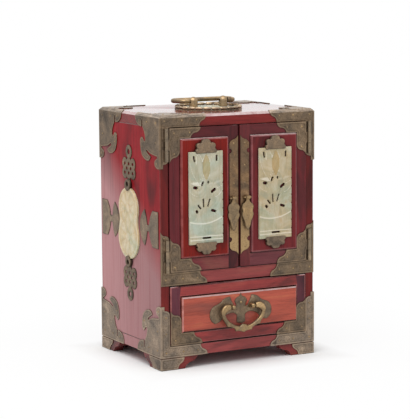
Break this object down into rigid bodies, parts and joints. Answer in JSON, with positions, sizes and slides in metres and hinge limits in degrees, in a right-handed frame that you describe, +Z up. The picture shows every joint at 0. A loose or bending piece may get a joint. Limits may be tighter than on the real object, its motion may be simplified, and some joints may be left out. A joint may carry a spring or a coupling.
{
  "type": "portable cabinet",
  "caption": "Small rosewood jewellery cabinet with hinged doors, a drawer, sheet brass mounts, carved jade plaques and a folding carrying handle on the lid.",
  "frame": {"origin": "centre of the bounding box, on the surface the feet stand on", "axes": "+Z up, -Y is the front with the doors and the drawer, +X is to the right of the front"},
  "size_m": [0.1794, 0.1466, 0.2617],
  "materials": {
    "rosewood": "clear lacquer",
    "dark_rosewood": "clear lacquer",
    "drawer_wood": "plain planed",
    "patinated_brass": "dull patina",
    "bright_brass": "worn bright",
    "pale_jade": "waxed polish",
    "silk_lining": "woven silk"
  },
  "bodies": {
    "case": {"top_board": "rosewood", "bottom_board": "rosewood", "right_side_board": "rosewood", "left_side_board": "rosewood", "back_panel": "rosewood", "divider_board": "rosewood", "compartment_shelf": "rosewood", "compartment_lining": "silk_lining", "front_right_foot": "rosewood", "front_left_foot": "rosewood", "back_right_foot": "rosewood", "back_left_foot": "rosewood", "foot_mounts": "patinated_brass", "front_top_right_mount": "patinated_brass", "front_top_left_mount": "patinated_brass", "front_bottom_right_mount": "patinated_brass", "front_bottom_left_mount": "patinated_brass", "back_top_right_mount": "patinated_brass", "back_top_left_mount": "patinated_brass", "back_bottom_right_mount": "patinated_brass", "back_bottom_left_mount": "patinated_brass", "right_divider_mount": "patinated_brass", "left_divider_mount": "patinated_brass", "hinge_pins": "bright_brass", "right_side_plaque": "pale_jade", "left_side_plaque": "pale_jade", "side_knots": "patinated_brass", "side_wings": "patinated_brass", "handle_plate": "patinated_brass", "handle_disc": "pale_jade", "handle_posts": "bright_brass"},
    "top_handle": {"top_handle": "bright_brass"},
    "left_door": {"left_door_frame": "dark_rosewood", "left_door_panel": "dark_rosewood", "left_door_plaque": "pale_jade", "left_plaque_clips": "patinated_brass", "left_door_mounts": "patinated_brass", "left_lock_plate": "bright_brass", "left_staple": "bright_brass"},
    "left_pull": {"left_door_pull": "bright_brass"},
    "right_door": {"right_door_frame": "dark_rosewood", "right_door_panel": "dark_rosewood", "right_door_plaque": "pale_jade", "right_plaque_clips": "patinated_brass", "right_door_mounts": "patinated_brass", "right_lock_plate": "bright_brass", "right_staple": "bright_brass"},
    "right_pull": {"right_door_pull": "bright_brass"},
    "drawer": {"drawer_front_frame": "rosewood", "drawer_front_panel": "rosewood", "drawer_sides": "drawer_wood", "drawer_back": "drawer_wood", "drawer_bottom": "drawer_wood", "drawer_lining": "silk_lining", "drawer_mounts": "patinated_brass", "drawer_pull_plate": "patinated_brass", "drawer_pull_posts": "bright_brass"},
    "drawer_bail": {"drawer_bail": "bright_brass"}
  },
  "joints": [
    {"name": "left_door_hinge", "type": "hinge", "parent": "case", "child": "left_door", "pos_m": [-0.0803, -0.06435, 0.1669], "axis": [0, 0, -1], "range_deg": [0, 175]},
    {"name": "left_pull_hinge", "type": "hinge", "parent": "left_door", "child": "left_pull", "pos_m": [-0.0079, -0.06655, 0.1656], "axis": [-1, 0, 0], "range_deg": [0, 100]},
    {"name": "right_door_hinge", "type": "hinge", "parent": "case", "child": "right_door", "pos_m": [0.0803, -0.06435, 0.1669], "axis": [0, 0, 1], "range_deg": [0, 175]},
    {"name": "right_pull_hinge", "type": "hinge", "parent": "right_door", "child": "right_pull", "pos_m": [0.0079, -0.06655, 0.1656], "axis": [-1, 0, 0], "range_deg": [0, 100]},
    {"name": "drawer_slide", "type": "slide", "parent": "case", "child": "drawer", "axis": [0, -1, 0], "range_m": [0, 0.095]},
    {"name": "drawer_bail_hinge", "type": "hinge", "parent": "drawer", "child": "drawer_bail", "pos_m": [0, -0.07075, 0.0576], "axis": [-1, 0, 0], "range_deg": [0, 95]},
    {"name": "top_handle_hinge", "type": "hinge", "parent": "case", "child": "top_handle", "pos_m": [0, -0.00045, 0.2573], "axis": [1, 0, 0], "range_deg": [0, 180]}
  ]
}
